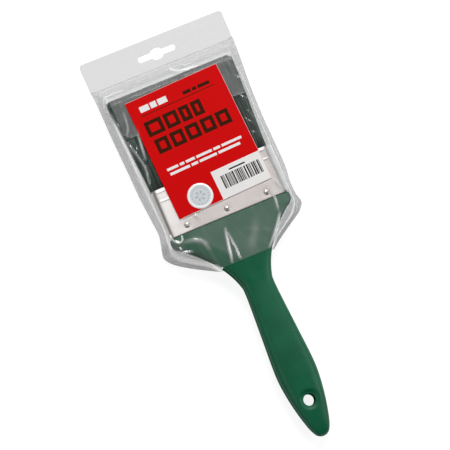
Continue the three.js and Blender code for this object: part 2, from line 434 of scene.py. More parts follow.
def cast_epoxy():
    """Amber setting resin that has crept up round the filament butts."""
    n = Nodes("cast_epoxy")
    clouds = n.noise(90, 4)
    return n.principled(
        Base_Color=n.mix(clouds, colour(214, 196, 138), colour(188, 160, 96)),
        Roughness=n.spread(clouds, 0.18, 0.4),
        Transmission_Weight=0.15,
        Normal=n.bump(n.noise(300, 2), 0.3, 0.0003),
    )


def clear_film():
    """Thin milky film. Each point's haze scatters, its dimming dims and its shine mirrors; the haze
    also carries painted highlights and reflections, and the dimming painted shade.

    The film is a closed sheet, so only the side towards the viewer counts and the other is clear."""
    n = Nodes("clear_film")
    haze = n.value("haze")
    facing = n.add("LayerWeight", {"Blend": 0.35}).outputs["Facing"]
    slant = n.maths("POWER", facing, 2.0)
    mottle = n.spread(n.noise(70, 4), 0.85, 1.15)
    cover = n.times(haze, mottle)
    cover = n.maths("ADD", cover, n.times(slant, haze), clamp=True)
    slant_dims = n.maths("ADD", n.times(slant, 0.35), 1.0)
    dim = n.times(n.value("dimming"), slant_dims)
    passes = n.maths("SUBTRACT", 1.0, dim, clamp=True)
    tint = n.add("CombineColor", {"Red": passes, "Green": passes, "Blue": passes}).outputs[0]
    crinkle = n.bump(n.noise(130, 3), 0.12, 0.0006)
    milk = n.add("BsdfDiffuse", {"Color": (0.8, 0.81, 0.81, 1), "Normal": crinkle})
    clear = n.add("BsdfTransparent", {"Color": tint})
    body = n.add("MixShader", {0: cover, 1: clear.outputs[0], 2: milk.outputs[0]})
    gloss = n.add("BsdfGlossy", {"Color": (1, 1, 1, 1), "Roughness": 0.14, "Normal": crinkle})
    mirror = n.add("Fresnel", {"IOR": 1.5, "Normal": crinkle}).outputs[0]
    shine = n.times(mirror, n.value("shine"))
    near_side = n.add("MixShader", {0: shine, 1: body.outputs[0], 2: gloss.outputs[0]})
    far_side = n.add("BsdfTransparent", {"Color": (1, 1, 1, 1)})
    back = n.add("NewGeometry").outputs["Backfacing"]
    both = n.add("MixShader", {0: back, 1: near_side.outputs[0], 2: far_side.outputs[0]})
    return n.finish(both.outputs[0])


def printed_card():
    """Coated card: each face has its ink, a little patchy, over a fine paper tooth."""
    n = Nodes("printed_card")
    ink = n.value("ink", "Color")
    tooth = n.noise(1800, 2)
    patchy = n.mix(n.times(n.noise(60, 4), 0.1), ink, (0.02, 0.0, 0.0, 1))
    return n.principled(
        Base_Color=patchy,
        Roughness=n.spread(tooth, 0.5, 0.6),
        Specular_IOR_Level=0.05,
        Normal=n.bump(tooth, 0.1, 0.00004),
    )


def seal_foil():
    """Silver foil paper with a pressed grain; each face has its ink."""
    n = Nodes("seal_foil")
    ink = n.value("ink", "Color")
    grain = n.noise(900, 3)
    return n.principled(
        Base_Color=ink,
        Metallic=0.25,
        Roughness=n.spread(grain, 0.38, 0.55),
        Normal=n.bump(grain, 0.2, 0.00006),
    )


def studio_floor():
    """A pale light table, which keeps the shadows faint."""
    n = Nodes("studio_floor")
    mottle = n.noise(9, 3)
    return n.principled(
        Base_Color=n.mix(mottle, (0.29, 0.29, 0.29, 1), (0.31, 0.31, 0.31, 1)),
        Roughness=0.8,
        Specular_IOR_Level=0.1,
        Emission_Color=(1, 1, 1, 1),
        Emission_Strength=0.86,
    )


# -------- handle
# Distance along Y, half width and half thickness, from the butt to the ferrule.
HANDLE = [
    (butt_y, 0.5, 0.4),
    (butt_y + 0.7, 3.0, 2.6),
    (butt_y + 3.4, 5.9, 4.9),
    (butt_y + 11, 9.1, 6.7),
    (butt_y + 26, 12.8, 8.2),
    (butt_y + 42, 15.3, 9.2),
    (butt_y + 58.5, 16.1, 9.5),
    (butt_y + 90, 14.3, 8.8),
    (-63.5, 12.5, 8.0),
    (-53.3, 13.7, 8.2),
    (-40.9, 18.8, 8.8),
    (-29.6, 26.3, 9.4),
    (-19.8, 35, 9.7),
    (-10, 46, 9.9),
    (-7.8, 49.6, 9.95),
    (-4.8, 51.1, 10),
    (-1.4, 51.1, 10),
    (-0.7, 50.8, 9.7),
    (-0.3, 50.1, 9.0),
]
# The tenon's rings: distance past the shoulder, then how much narrower and thinner they are.
TENON = [(0, 0.5, 0.4), (0, 1.6, 0.8), (14.3, 1.6, 0.8), (14.3, 3, 2)]
# The hanging hole with its rounded lip, and the flat land and the dish round it.
HOLE_Y = -157.2
HOLE_RADIUS = 4.65
HOLE_LIP = 0.7
LAND_HEIGHT = 7.2
LAND_MARGIN = 0.6
DISH_RADIUS = 9.0
PATCH_REACH = 10.5


def handle_squareness(y):
    """Power of the section's outline: near an oval along the grip, squarer at the shoulder."""
    return 9 - 5.7 * ramp(-y, 8, 60)


def handle_rings(around):
    """Rings of points round the handle's own middle, from the butt to the end of the tenon."""
    outline = spline(HANDLE, 230)
    tenon = [outline[-1] + (past, -narrower, -thinner) for past, narrower, thinner in TENON]
    outline = np.vstack([outline, *tenon])
    angle = np.arange(around) / around * 2 * pi
    power = (2 / handle_squareness(outline[:, 0]))[:, None]
    across = signed_power(np.cos(angle), power) * outline[:, 1:2]
    up = signed_power(np.sin(angle), power) * outline[:, 2:3]
    along = np.repeat(outline[:, :1], around, axis=1)
    return outline, np.stack([across, along, up], axis=2)


def handle_top(outline, x, y):
    """Height of the handle's face over its middle, with the dish and the rounded lip of the hole."""
    places, widths, depths = outline[:-len(TENON)].T
    width = np.interp(y, places, widths)
    depth = np.interp(y, places, depths)
    power = handle_squareness(y)
    height = depth * (1 - np.minimum(np.abs(x) / width, 1) ** power) ** (1 / power)
    radius = np.hypot(x, y - HOLE_Y)
    height += (LAND_HEIGHT - height) * ramp(-radius, -DISH_RADIUS, -HOLE_RADIUS - LAND_MARGIN)
    over = np.clip(HOLE_RADIUS + HOLE_LIP - radius, 0, HOLE_LIP)
    return height - HOLE_LIP + np.sqrt(HOLE_LIP**2 - over**2)


def build_handle():
    """The skin is a grid of rings. Round the hole on each face, finer rings close in on its rim."""
    around, spread, steps = 96, 11, 18
    outline, rings = handle_rings(around)
    rows = len(rings)
    ends = (HOLE_Y - PATCH_REACH, HOLE_Y + PATCH_REACH)
    first, last = np.searchsorted(outline[:, 0], ends).tolist()
    sides = [(around // 4, 1), (3 * around // 4, -1)]

    def near_hole(row, column):
        inside = any(mid - spread <= column < mid + spread for mid, _ in sides)
        return first <= row < last and inside

    for mid, side in sides:
        patch = rings[first:last + 1, mid - spread:mid + spread + 1]
        patch[..., 2] = side * handle_top(outline, patch[..., 0], patch[..., 1])
    points = list(rings.reshape(-1, 3))
    faces = grid_faces(rows, around, closed=True, skip=near_hole) + end_faces(rows, around)
    indices = np.arange(rows * around).reshape(rows, around)
    rims = []
    for mid, side in sides:
        block = indices[first:last + 1, mid - spread:mid + spread + 1]
        edge = edge_loop(block[:, ::side])
        start = np.array([points[i] for i in edge])
        angle = np.arctan2(start[:, 1] - HOLE_Y, start[:, 0])
        rim = np.stack([HOLE_RADIUS * np.cos(angle), HOLE_Y + HOLE_RADIUS * np.sin(angle)], axis=1)
        previous = edge
        for step in range(1, steps + 1):
            share = 1 - (1 - step / steps) ** 2
            flat = start[:, :2] + (rim - start[:, :2]) * share
            height = side * handle_top(outline, flat[:, 0], flat[:, 1])
            current = list(range(len(points), len(points) + len(edge)))
            points.extend(np.column_stack([flat, height]))
            faces += bridge(previous, current)
            previous = current
        rims.append(previous)
    faces += bridge(*rims)
    new_piece(
        "brush_handle", np.array(points) + (0, 0, middle), faces, "brush",
        handle_plastic(), "handle_plastic", ["handle"], sharp=50,
    )


# -------- ferrule and nails
CORNER = 4.5
WALL = 0.5
BEADS = [30.3, 38]
BEAD_WIDTH = 0.6
# The lap seam on the back: where it starts to rise, is up, starts to fall and is down again.
SEAM = [12.0, 12.5, 17.5, 18.0]
SEAM_RISE = 0.28
NAIL_Y = 5.2
NAIL_X = [-34, 0, 34]
NAIL_HEAD = 2.2
DIMPLE_DEPTH = 0.22
DIMPLE_RADIUS = 2.9


def ferrule_section():
    """Points of the section's inner skeleton and the outward direction at each, once round."""
    flat_x = ferrule_half_width - CORNER
    flat_z = ferrule_half_depth - CORNER
    across = np.unique(np.concatenate([np.linspace(-flat_x, flat_x, 75), SEAM]))
    up = np.linspace(-flat_z, flat_z, 7)
    bends = np.linspace(0, pi / 2, 9)[1:-1]
    # Each side's places and outward direction, and the centre of the corner after it.
    sides = [
        ([(x, flat_z) for x in across[::-1]], (0, 1), (-flat_x, flat_z)),
        ([(-flat_x, z) for z in up[::-1]], (-1, 0), (-flat_x, -flat_z)),
        ([(x, -flat_z) for x in across], (0, -1), (flat_x, -flat_z)),
        ([(flat_x, z) for z in up], (1, 0), (flat_x, flat_z)),
    ]
    bones, ways = [], []
    for quarter, (places, way, centre) in enumerate(sides, start=1):
        bones += places + [centre] * len(bends)
        ways += [way] * len(places)
        ways += [(cos(quarter * pi / 2 + bend), sin(quarter * pi / 2 + bend)) for bend in bends]
    return np.array(bones), np.array(ways)


def build_ferrule():
    """The pressed band: two beads, turned-in ends, dimples at the nails and a lap seam behind."""
    bones, ways = ferrule_section()
    fine = [bead + step for bead in BEADS for step in np.linspace(-1.5, 1.5, 11)]
    places = np.unique(np.round(np.concatenate([np.linspace(1, ferrule_length - 1, 27), fine]), 2))
    outer = [(0.0, -0.3), (0.25, -0.08), (0.6, 0)] + [(y, 0) for y in places]
    outer += [(ferrule_length - 0.25, -0.08), (ferrule_length, -0.3)]
    inner = [(ferrule_length, -WALL), (ferrule_length / 2, -WALL), (0.0, -WALL)]
    rows = []
    for index, (y, inset) in enumerate(outer + inner):
        reach = np.full(len(bones), CORNER + inset)
        x = bones[:, 0] + ways[:, 0] * CORNER
        if index < len(outer):
            reach += sum(bead_rise * exp(-(((y - bead) / BEAD_WIDTH) ** 2)) for bead in BEADS)
            for nail_x in NAIL_X:
                away = np.hypot(x - nail_x, y - NAIL_Y) / DIMPLE_RADIUS
                reach -= DIMPLE_DEPTH * np.exp(-(away**2)) * (np.abs(ways[:, 1]) > 0.99)
            on_seam = (ways[:, 1] < -0.99) & (x > SEAM[0] + 0.2) & (x < SEAM[3] - 0.2)
            reach += SEAM_RISE * on_seam
        flat = bones + ways * reach[:, None]
        rows.append(np.column_stack([flat[:, 0], np.full(len(flat), y), flat[:, 1] + middle]))
    first, last = end_faces(len(rows), len(bones))
    faces = grid_faces(len(rows), len(bones), closed=True) + bridge(last, first)
    new_piece(
        "ferrule_band", np.vstack(rows), faces, "brush",
        ferrule_steel(), "ferrule_steel", ["ferrule"], sharp=60,
    )


def build_nail(name, x, side, material, replaced):
    """A wire nail: pointed shank and a low domed head that sits in its dimple."""
    face = ferrule_half_depth
    point, crown = face - 8, face + 0.66
    profile = [(0.25, face - 7.4), (0.8, face - 6), (0.8, face - 0.05)]
    profile += [(1.3, face - 0.02), (NAIL_HEAD - 0.15, face - 0.02), (NAIL_HEAD, face + 0.12)]
    dome = np.linspace(0.25, 1.45, 7)
    profile += [(NAIL_HEAD * cos(a), face + 0.15 + 0.5 * sin(a)) for a in dome]
    around, rings = 28, len(profile)
    points = [(x, NAIL_Y, middle + side * point)]
    placed = [(radius, middle + side * height) for radius, height in profile]
    points += turned_rings(placed, around, (x, NAIL_Y))
    points.append((x, NAIL_Y, middle + side * crown))
    faces = grid_faces(rings, around, closed=True, start=1)
    faces += [(0, 1 + (i + 1) % around, 1 + i) for i in range(around)]
    last = 1 + (rings - 1) * around
    faces += [(len(points) - 1, last + i, last + (i + 1) % around) for i in range(around)]
    new_piece(name, points, faces, "brush", material, "nail_steel", [replaced], sharp=40)


def build_nails():
    material = nail_steel()
    for side, face in ((1, "front"), (-1, "back")):
        for x, place in zip(NAIL_X, ("left", "centre", "right")):
            build_nail(f"nail_{face}_{place}", x, side, material, f"ferrule_nail_{face}_{place}")


# -------- filaments
# Distance along Y, half width and half depth of the filament pack.
PACK = [
    (30, 49.4, 9.1),
    (ferrule_length, 49.4, 9.1),
    (55, 49.9, 9.4),
    (75, 50.5, 9.5),
    (100, 52.0, 8.9),
    (tip_y - 8, 53.3, 7.8),
    (tip_y, 53.4, 6.6),
]
# How many strands make the skin and fill in the tips, and where each kind starts.
SKIN_STRANDS, TIP_STRANDS = 3000, 1900
SKIN_ROOT, TIP_ROOT = 36.0, 84.0
STRAND_LEVELS = 6
EDGE_SHARE, BRIGHT_SHARE = 0.09, 0.1
CORE_TONE = 0.12


def sideways(y):
    """How far the pack leans to the left as a whole, growing towards the tips."""
    return -ramp(y, ferrule_length, tip_y)


def strand_wave(across, along, phase):
    """Slow shared sway, so that neighbouring strands lean together in locks."""
    waves = [(0.5, 0.33, 0.035, 1), (0.35, 1.13, -0.06, 2), (0.25, 3.1, 0.11, 3)]
    return sum(w * np.sin(across * a + along * b + k * phase) for w, a, b, k in waves)


def round_off(place, start):
    """Grows from nothing at the start to one at the pack's edge."""
    return np.clip((place - start) / (1 - start), 0, 1) ** 2


def strand_faces(count):
    """The sides and ends of three-sided strands, whose points are stored corner by corner."""
    faces = []
    for strand in range(count):
        at = [strand + count * row for row in range(3 * (STRAND_LEVELS + 1))]
        for level in range(STRAND_LEVELS):
            for corner in range(3):
                a, b = 3 * level + corner, 3 * level + (corner + 1) % 3
                faces.append((at[a], at[b], at[b + 3], at[a + 3]))
        faces.append((at[0], at[2], at[1]))
        faces.append(tuple(at[-3:]))
    return faces


def build_bristles(name, side, replaced, material):
    """One half of the pack: a dark core with thousands of tapered three-sided strands over it.

    Across and depth are shares of the pack's half width and half depth. Edge strands stand at
    its two narrow sides, and bright ones are thicker and lean more."""
    count = SKIN_STRANDS + TIP_STRANDS
    depth = np.concatenate([
        1 - 0.3 * strand_rng.random(SKIN_STRANDS) ** 1.5,
        strand_rng.random(TIP_STRANDS) * 0.85 + 0.03,
    ])
    across = strand_rng.uniform(-1, 1, count)
    edge = np.flatnonzero(strand_rng.random(SKIN_STRANDS) < EDGE_SHARE)
    outward = np.sign(across[edge])
    across[edge] = outward * (1 - 0.03 * strand_rng.random(len(edge)))
    depth[edge] = strand_rng.random(len(edge))
    depth = np.minimum(depth, 1 - 0.3 * round_off(np.abs(across), 0.92))
    corner_drop = 1.2 * round_off(-across, 0.96) + 4.5 * round_off(across, 0.94)
    front_drop = 0.5 * depth**3
    tips = tip_y - 0.1 - corner_drop - front_drop - 0.9 * strand_rng.random(count) ** 2
    roots = np.where(np.arange(count) < SKIN_STRANDS, SKIN_ROOT, TIP_ROOT)
    locks = np.interp(across, np.linspace(-1, 1, 75), strand_rng.normal(0, 1, 75))
    tone = np.clip(0.42 + 0.3 * locks + strand_rng.normal(0, 0.16, count), 0, 0.85)
    bright = strand_rng.random(count) < BRIGHT_SHARE
    tone[bright] = strand_rng.uniform(0.86, 1.0, bright.sum())
    thick = strand_rng.uniform(0.17, 0.26, count) + 0.06 * bright
    lean = np.where(bright, strand_rng.normal(0, 2.2, count), strand_rng.normal(0, 0.35, count))
    lean[edge] += outward * strand_rng.uniform(-0.4, 1.1, len(edge))
    lift = strand_rng.normal(0, 0.16, count)
    points, tones = [], []
    for t in np.linspace(0, 1, STRAND_LEVELS + 1):
        y = roots + (tips - roots) * t
        size = through(PACK, y)
        free = ramp(y, ferrule_length, tip_y)
        x = across * size[:, 0] + free * (0.8 * strand_wave(across * 50, y, 0.7) + lean)
        z = depth * size[:, 1] + free * (0.3 * strand_wave(across * 50, y, 2.1) + lift) - 0.25
        limit = size[:, 0] + 0.8
        x = np.clip(x, -limit, limit) + sideways(y)
        z = np.clip(z, 0.15, size[:, 1])
        radius = thick * (1 - 0.72 * ramp(t, 0.72, 1))
        for corner in range(3):
            angle = 2 * pi * corner / 3 + pi / 2
            points.append(np.column_stack([
                x + radius * cos(angle), y, middle + side * (z + radius * sin(angle)),
            ]))
            tones.append(tone * (0.75 + 0.25 * free))
    points, tones = np.vstack(points), np.concatenate(tones)
    core, core_faces = pack_core(side, len(points))
    new_piece(
        name, np.vstack([points, core]), strand_faces(count) + core_faces, "brush", material,
        "filament", [replaced], tone=np.concatenate([tones, np.full(len(core), CORE_TONE)]),
    )


def pack_core(side, start):
    """The dense middle of one half, which stops light from passing between the strands."""
    stations = np.linspace(32, tip_y - 7, 24)
    size = through(PACK, stations)
    rows, columns = [], 120
    bend = np.linspace(0, pi, columns)
    for y, (width, depth) in zip(stations, size):
        taper = 0.975 - 0.05 * ramp(y, tip_y - 16, tip_y - 7)
        x = signed_power(np.cos(bend), 0.25) * width * taper + sideways(y)
        z = np.abs(np.sin(bend)) ** 0.25 * (depth * 0.78 - 0.3) + 0.3
        z[0] = z[-1] = 0.3
        rows.append(np.column_stack([x, np.full(columns, y), middle + side * z]))
    faces = grid_faces(len(rows), columns, closed=True, start=start)
    return np.vstack(rows), faces + end_faces(len(rows), columns, start)


# -------- film bag
# Distance along Y, left and right half width at the folds, half width of the raised flat, and the
# flat's height over the brush's middle.
BAG = [
    (mouth_y, 23.4, 23.4, 20.6, 9.9),
    (-30, 36, 33, 27.5, 10.4),
    (-24, 46, 42.5, 36, 10.6),
    (-16, 56.5, 55, 46, 10.9),
    (-11, 60.0, 59.0, 49.5, 11.0),
    (-2, 59.2, 57.8, 51.2, 11.2),
    (8, 56.9, 57.6, 51.4, 11.4),
    (20, 57.6, 59.0, 51.5, 11.6),
    (40, 59.2, 59.2, 51.6, 11.7),
    (64, 60.0, 58.8, 52.0, 11.8),
    (104, 61.4, 60.2, 54.0, 11.75),
    (118, 61.6, 61.4, 55.0, 11.6),
    (122, 61.7, 61.6, 55.2, 10.8),
    (126, 61.8, 61.9, 55.6, 8.2),
    (132, 62.1, 62.2, 57.0, -1.2),
    (header_bottom + 0.1, 62.6, 62.6, 59.0, -10.7),
]
# Width of the flat sealed fin along both sides, and what is left of it at the mouth.
FIN = 2.6
MOUTH_FIN = 0.6
# Thickness of one sheet, and the width over which the film changes at the card's edge.
FILM = 0.08
CARD_MARGIN = 1.2
# The inner flap's half width and the place of its low edge.
FLAP_HALF = 52.5
FLAP_Y = 87


def bag_grid(columns, rows):
    """Places across and along one sheet, closer together where the film bends down to its edges."""
    q = np.linspace(-1, 1, columns)
    across = np.sign(q) * (1 - (1 - np.abs(q)) ** 1.4)
    along = np.linspace(mouth_y, header_bottom + 0.1, rows)
    size = through(BAG, along)
    left, right, flat, front = (size[:, i:i + 1] for i in range(4))
    x = np.where(across < 0, across * left, across * right)
    edge = np.where(across < 0, left, right)
    y = np.repeat(along[:, None], columns, axis=1)
    inner = edge - MOUTH_FIN - (FIN - MOUTH_FIN) * ramp(y, mouth_y, mouth_y + 8)
    return x, y, edge, inner, flat, front


def ridge(x, y, path, height, width):
    """A crease along a smooth path that fades towards both ends."""
    length = np.hypot(*np.diff(path, axis=0).T).sum()
    count = 16 + int(2.5 * length / width)
    line = spline(path, count)
    fade = np.sin(np.linspace(0.12, pi - 0.12, count)) ** 0.6
    best = np.zeros_like(x)
    for (px, py), strength in zip(line, fade):
        near = np.exp(-((x - px) ** 2 + (y - py) ** 2) / width**2)
        best = np.maximum(best, near * strength)
    return height * best


# Creases that stand out: points along each, its height and its width.
CREASES = [
    ([(4, 132), (4.6, 127), (9, 123.5), (16, 122.6), (25, 122)], 1.1, 1.0),
    ([(13, 128.5), (20, 126)], 0.5, 0.8),
    ([(-58, 121), (-54.5, 125.6), (-46, 127), (-37, 125.5)], 0.8, 1.0),
    ([(-45.5, 108), (-47, 96), (-51, 88)], 0.5, 0.9),
    ([(-40.5, 92), (-42.5, 80), (-44, 66)], 0.8, 0.9),
    ([(-52, 84), (-47, 62), (-49, 46)], 0.5, 0.8),
    ([(-50, 2), (-48.6, -3)], 1.2, 0.6),
    ([(-48.6, -3), (-45.4, -5.8), (-42.8, -5.4)], 1.3, 0.6),
    ([(-42.8, -5.4), (-41.2, -1.5)], 1.2, 0.6),
    ([(-46.4, -10), (-45.6, -11.6)], 0.8, 0.6),
    ([(-41, -6.5), (-33, -8.5), (-27.5, -12.5), (-25.5, -19)], 0.45, 1.7),
    ([(-47, -14), (-38, -16)], 0.5, 0.9),
    ([(17, -12), (12, -22), (6, -30)], 0.16, 3.5),
    ([(-7.5, -9), (-10.5, -22), (-13, mouth_y + 1)], 1.1, 0.9),
    ([(-7, -13), (-6, -25), (-5.7, mouth_y + 1)], 0.9, 0.7),
    ([(36.5, 10), (38, 0), (37, -12)], 0.7, 0.8),
    ([(37, -14), (29, -25), (19, mouth_y + 1)], 1.0, 0.9),
    ([(43, 13), (46, 5)], 0.5, 0.7),
    ([(-27, 13), (-23, 6)], 0.7, 0.8),
    ([(53.5, 108), (53, 82), (52.5, 64)], 0.6, 0.9),
    ([(-55, 110), (-54, 80), (-55.5, 52), (-54, 20)], 0.4, 1.3),
]


# Fields of faint creases: their strength and number, the two corners and the heading.
FAINT_CREASES = [
    (1, 26, (-58, 40), (-46, 120), 1.45),
    (1, 26, (46, 30), (58, 118), 1.55),
    (1, 22, (-40, -34), (40, 4), -1.3),
    (0.6, 8, (-50, 124), (50, 134), 0.1),
]


def small_creases(x, y, count, low, high, heading):
    """Seeded faint creases that start between the two corners and run roughly along the heading."""
    total = np.zeros_like(x)
    for _ in range(count):
        start = film_rng.uniform(low, high)
        way = film_rng.normal(heading, 0.5)
        length = film_rng.uniform(8, 26)
        end = start + length * np.array([cos(way), sin(way)])
        height, width = film_rng.uniform(0.1, 0.35), film_rng.uniform(0.8, 1.6)
        total += ridge(x, y, [start, end], height, width)
    return total


def on_card(x, y, margin):
    """One where the card lies under the film, fading to none over the margin."""
    dx, dy = x - card_centre[0], y - card_centre[1]
    u = dx * cos(card_turn) + dy * sin(card_turn)
    v = dy * cos(card_turn) - dx * sin(card_turn)
    out = np.maximum(np.abs(u) - card_size[0] / 2, np.abs(v) - card_size[1] / 2)
    return 1 - ramp(out, 0, margin)


def beside_brush(x, y):
    """One where the camera sees the film hang free beside the handle, ferrule or filaments."""
    x = x - film_shift * sin(camera_azimuth)
    y = y + film_shift * cos(camera_azimuth)
    half_widths = [row[:2] for row in HANDLE + PACK]
    half = np.interp(y, *np.transpose(half_widths))
    return ramp(np.abs(x), half - 0.4, half + 1.4)


def film_haze(x, y):
    """How much the front sheet scatters: little over the brush, more beside it and past its tips."""
    margin = beside_brush(x, y)
    haze = 0.012 + 0.085 * ramp(y, tip_y, tip_y + 5) + 0.13 * margin
    # Milkier over the shoulder, partly as a painted reflection.
    shoulder = ramp(-y, -2, 4)
    haze += 0.09 * shoulder
    # Clearer in a patch left of the handle's face, where less reflection is painted.
    clear_patch = shoulder * ramp(-x - 0.9 * (y + 24), 14, 20) * ramp(x, -46, -40)
    haze *= 1 - 0.6 * clear_patch
    # Milkier on the right, between the ferrule and the inner flap, and clear on the card.
    below_flap = ramp(y, ferrule_length, 50) * (1 - ramp(y, 80, 92))
    haze += 0.025 * ramp(x, 25, 45) * below_flap * (1 - margin)
    haze *= 1 - 0.99 * on_card(x, y, CARD_MARGIN)
    # Clearer on the ferrule, with a painted highlight where the film bends over its right end.
    on_ferrule = ramp(y, 0, 2) * (1 - ramp(y, ferrule_length - 2, ferrule_length))
    haze *= 1 - 0.3 * on_ferrule * (1 - margin)
    return haze + 0.5 * on_ferrule * ramp(x, 42, 50) * (1 - ramp(x, 51, 54))


def film_dimming(x, y):
    """How much the front sheet dims what lies under it: a little as its own tint, more where it hangs
    free beside the brush and past its tips, partly as painted shade, and more again on the lobes by
    the shoulder as painted shade.
    """
    beyond = ramp(y, tip_y - 1, tip_y + 3)
    lobe_shade = ramp(-y, -4, 6) * beside_brush(x, y)
    # Painted shade: the dimming rises beside the brush and past the tips, and most on the lobes by
    # the shoulder.
    return 0.03 + 0.27 * np.maximum(beside_brush(x, y), 0.7 * beyond) + 0.2 * lobe_shade


def build_bag_front(material):
    """The front sheet, raised over the brush. Its creases flatten at the seals and the mouth."""
    x, y, edge, inner, flat, front = bag_grid(170, 210)
    drop = ramp(np.abs(x), flat, inner)
    z = middle + front + (fold_height + 0.1 - middle - front) * drop
    creases = sum(ridge(x, y, *crease) for crease in CREASES)
    faint = sum(strength * small_creases(x, y, *field) for strength, *field in FAINT_CREASES)
    calm = 1 - 0.9 * on_card(x, y, 2)
    stand = (1 - ramp(np.abs(x), edge - 4, edge)) * ramp(y, mouth_y - 1, mouth_y + 3)
    z += (creases + faint) * calm * (0.25 + 0.75 * stand)
    creased = np.clip(creases, 0, 1) * calm
    # Painted highlights: the creases are whitened through the haze, the big ones strongly and the
    # faint ones a little.
    haze = np.clip(film_haze(x, y) + 0.85 * creased + 0.1 * faint * calm, 0, 0.9)
    shine = (1 - 0.98 * on_card(x, y, CARD_MARGIN)) * (1 - 0.95 * ramp(y, 98, 110)) + creased
    build_sheet(
        "bag_film_front", x, y, z, haze, film_dimming(x, y), 1.5 * shine, material, ["poly_bag"]
    )


def build_bag_back(material):
    """The back sheet, which lies nearly flat and turns up to the seals at its sides."""
    x, y, edge, inner, flat, _ = bag_grid(110, 120)
    drop = ramp(np.abs(x), flat, inner)
    lift = 0.45 + small_creases(x, y, 40, (-50, -30), (50, 120), 1.4)
    z = lift + (fold_height - 0.1 - lift) * drop
    z = z + (0.2 - z) * ramp(y, header_bottom - 8, header_bottom)
    haze = 0.06 + 0.08 * ramp(np.abs(x), edge - 9, edge - 4)
    build_sheet("bag_film_back", x, y, z, haze, 0.2, 1, material, [])


def build_sheet(name, x, y, z, haze, dimming, shine, material, replaces):
    """One sheet of film as a piece of its own."""
    new_piece(
        name, as_points(x, y, z), grid_faces(*x.shape), "packaging", material, "clear_film", replaces,
        thickness=FILM, haze=haze, dimming=dimming, shine=shine,
    )


def build_flap(material):
    """The header's inner flap: a second layer of film over the tips, under the card."""
    rows, columns = 50, 90
    across = np.linspace(-FLAP_HALF, FLAP_HALF, columns)
    low_edge = FLAP_Y + 1.2 * np.sin(across * 0.07) + 4 * ramp(-across, 48, FLAP_HALF)
    t = np.linspace(0, 1, rows)[:, None]
    y = low_edge + (tip_y + 6 - low_edge) * t
    x = np.repeat(across[None, :], rows, axis=0)
    ripple = 0.12 * np.sin(x * 0.4) * np.sin(y * 0.3)
    z = middle + 10.3 - 6 * ramp(y, tip_y - 6, tip_y + 6) + ripple
    haze = 0.17 + 0.3 * np.exp(-(((y - low_edge) / 0.6) ** 2))
    build_sheet("bag_inner_flap", x, y, z, haze, 0.04, 0.3, material, [])


# The header, its hang slot and the hump in the slot's middle.
SLOT_WIDTH, SLOT_HEIGHT = 33, 5
HUMP_WIDTH, HUMP_HEIGHT = 9.7, 10
SLOT_Y = header_top - 14.6
HEADER_CORNER = 3
HEADER_THICKNESS = 0.3
HEADER_Z = 0.3


def arc(centre, radius, start, end, count=9):
    """Points from the start angle to the end angle."""
    return [
        (centre[0] + radius * cos(a), centre[1] + radius * sin(a))
        for a in np.linspace(start, end, count)
    ]


def slot_outline():
    """Anticlockwise: a slot with round ends and a hump above and below its middle."""
    end = SLOT_WIDTH / 2 - SLOT_HEIGHT / 2
    half = SLOT_HEIGHT / 2
    hump = [
        (HUMP_WIDTH / 2 * cos(a), half + (HUMP_HEIGHT / 2 - half) * sin(a) ** 1.3)
        for a in np.linspace(0, pi, 13)
    ]
    outline = hump + arc((-end, 0), half, pi / 2, 1.5 * pi)
    outline += [(-x, -y) for x, y in hump]
    outline += arc((end, 0), half, -pi / 2, pi / 2)
    return [(x, y + SLOT_Y) for x, y in outline]


def header_outline():
    """Anticlockwise: square corners at the bag and round ones at the top."""
    corner = header_half - HEADER_CORNER
    top = header_top - HEADER_CORNER
    low_half = header_half - 0.3
    outline = [(-low_half, header_bottom), (low_half, header_bottom)]
    outline += arc((corner, top), HEADER_CORNER, 0, pi / 2)
    return outline + arc((-corner, top), HEADER_CORNER, pi / 2, pi)


def build_header(material):
    """Both layers of film welded flat above the bag, with the hang slot punched through."""
    curve = bpy.data.curves.new("bag_header", "CURVE")
    curve.dimensions = "2D"
    curve.fill_mode = "BOTH"
    curve.extrude = HEADER_THICKNESS / 2 * MM
    for outline in (header_outline(), slot_outline()):
        line = curve.splines.new("POLY")
        line.points.add(len(outline) - 1)
        for point, (x, y) in zip(line.points, outline):
            point.co = (x * MM, y * MM, 0, 1)
        line.use_cyclic_u = True
    shape = add_object("header_shape", curve)
    bpy.context.view_layer.update()
    mesh = shape.to_mesh()
    points = [(v.co.x / MM, v.co.y / MM, v.co.z / MM + HEADER_Z) for v in mesh.vertices]
    faces = [tuple(p.vertices) for p in mesh.polygons]
    shape.to_mesh_clear()
    bpy.data.objects.remove(shape)
    new_piece(
        "bag_header", points, faces, "packaging", material, "clear_film", [], sharp=30,
        haze=0.2, dimming=0.31, shine=0.6,
    )


def build_bag():
    """Two sheets, the inner flap and the header, all of one film."""
    material = clear_film()
    build_bag_front(material)
    build_bag_back(material)
    build_flap(material)
    build_header(material)


# -------- card and seal
RED = colour(219, 3, 5)
DARK = colour(60, 25, 4)
WHITE = colour(250, 248, 246)
BLACK = colour(24, 21, 23)
RIM = colour(232, 186, 186)
BOARD = colour(214, 208, 200)
FOIL = colour(212, 217, 219)
FOIL_EDGE = colour(246, 248, 248)
FOIL_PRINT = colour(178, 186, 194)
# The card bows by CARD_BOW in the middle, in the room that the CAD card's thickness leaves.
CARD_BOW, BOW_ROOM = 0.12, 0.14
# Inner and outer radius of the seal's petals and of its dashes.
PETALS, DASHES = (1.6, 4.2), (6.2, 7.2)


def word_blocks(left, right, low, high, sizes, gap, ink):
    """A line of plain blocks in place of words, with widths in the given proportions."""
    room = right - left - gap * (len(sizes) - 1)
    blocks, at = [], left
    for size in sizes:
        width = room * size / sum(sizes)
        blocks.append((at, at + width, low, high, ink))
        at += width + gap
    return blocks


